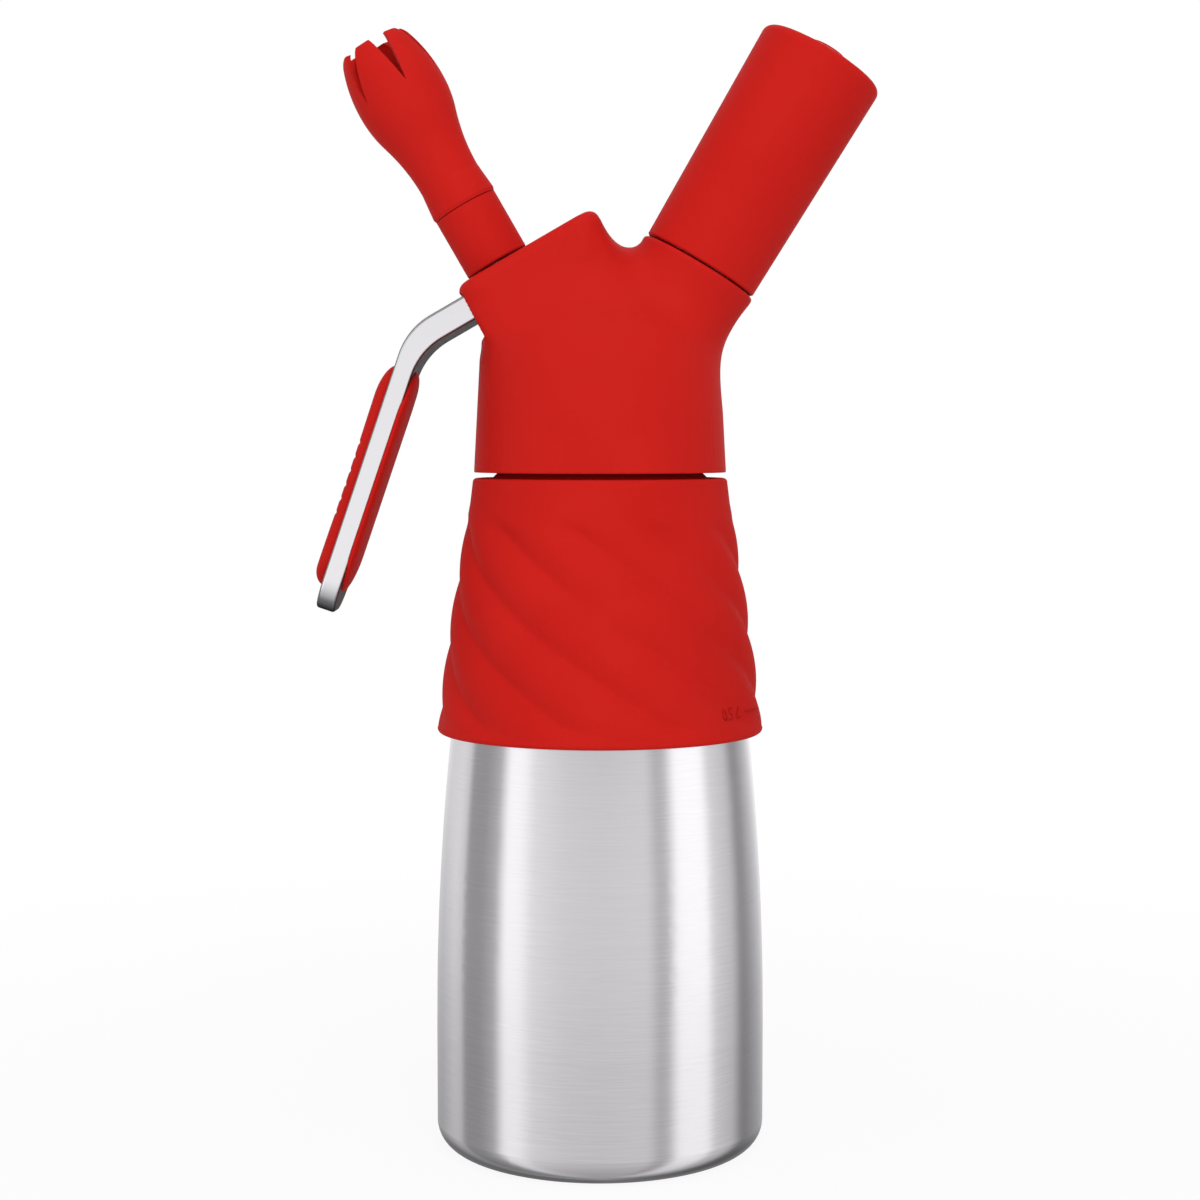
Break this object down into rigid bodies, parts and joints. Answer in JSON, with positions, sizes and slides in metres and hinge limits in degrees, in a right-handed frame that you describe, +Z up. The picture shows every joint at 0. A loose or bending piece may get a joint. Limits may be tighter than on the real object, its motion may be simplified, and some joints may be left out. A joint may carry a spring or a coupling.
{
  "type": "whipped cream dispenser",
  "caption": "Upright pressure flask for whipping cream, with a screw-on head, a squeeze lever, a slanted decorating nozzle and a slanted gas charger holder.",
  "frame": {"origin": "on the bottle's axis, in the plane that it stands on", "axes": "+Z up along the bottle's axis, +X towards the gas charger holder, -X towards the lever and nozzle, -Y towards the side with the fill tick"},
  "size_m": [0.1378, 0.0812, 0.2757],
  "materials": {
    "steel": "brushed",
    "red_silicone": "matte",
    "red_plastic": "satin",
    "steel_parts": "polished",
    "black_rubber": "matte",
    "charger_steel": "zinc plated"
  },
  "bodies": {
    "bottle": {"bottle": "steel", "bottle_sleeve": "red_silicone"},
    "head_seal": {"head_gasket": "red_silicone"},
    "head": {"head_shell": "red_plastic", "valve_seat": "steel_parts", "guide_bush": "steel_parts", "lever_pin": "steel_parts", "pin_plug": "red_plastic", "piercing_body": "steel_parts", "piercing_needle": "steel_parts", "charger_gasket": "black_rubber", "nonreturn_sleeve": "black_rubber", "valve_spring": "steel_parts"},
    "lever": {"lever": "steel", "lever_grip": "red_silicone"},
    "valve": {"valve_stem": "steel_parts", "stem_orings": "black_rubber", "stem_clip": "steel_parts", "spring_cap": "steel_parts", "valve_seal": "black_rubber", "nozzle_adapter": "red_plastic"},
    "nozzle_seal": {"nozzle_washer": "black_rubber"},
    "nozzle": {"decorator_nozzle": "red_plastic"},
    "charger": {"charger": "charger_steel", "charger_cap": "charger_steel"},
    "holder": {"charger_holder": "red_plastic", "holder_insert": "steel_parts", "holder_end_plug": "red_plastic"}
  },
  "joints": [
    {"name": "head_rise", "type": "slide", "parent": "bottle", "child": "head_seal", "axis": [0, 0, 1], "range_m": [0, 0.024]},
    {"name": "head_turn", "type": "hinge", "parent": "head_seal", "child": "head", "pos_m": [0, 0, 0.175], "axis": [0, 0, 1], "range_deg": [0, 1080]},
    {"name": "lever_squeeze", "type": "hinge", "parent": "head", "child": "lever", "pos_m": [-0.00688, 0, 0.22105], "axis": [0, -1, 0], "range_deg": [0, 8.5], "stiffness_Nm_per_rad": 2, "springref_deg": -2.86},
    {"name": "valve_press", "type": "slide", "parent": "head", "child": "valve", "axis": [0.5, 0, -0.866], "range_m": [0, 0.00253], "deforming": ["valve_spring"]},
    {"name": "nozzle_rise", "type": "slide", "parent": "valve", "child": "nozzle_seal", "axis": [-0.5, 0, 0.866], "range_m": [0, 0.009]},
    {"name": "nozzle_turn", "type": "hinge", "parent": "nozzle_seal", "child": "nozzle", "pos_m": [-0.0246, 0, 0.21775], "axis": [-0.5, 0, 0.866], "range_deg": [0, 1080]},
    {"name": "holder_rise", "type": "slide", "parent": "head", "child": "charger", "axis": [0.512, 0, 0.859], "range_m": [0, 0.016]},
    {"name": "holder_turn", "type": "hinge", "parent": "charger", "child": "holder", "pos_m": [0.0242, 0, 0.2175], "axis": [0.512, 0, 0.859], "range_deg": [0, 1440]}
  ],
  "couplings": [
    {"joint": "head_rise", "follows": "head_turn", "m_per_rad": 0.0012732},
    {"joint": "valve_press", "follows": "lever_squeeze", "m_per_rad": 0.017},
    {"joint": "nozzle_rise", "follows": "nozzle_turn", "m_per_rad": 0.00047746},
    {"joint": "holder_rise", "follows": "holder_turn", "m_per_rad": 0.00063662}
  ]
}
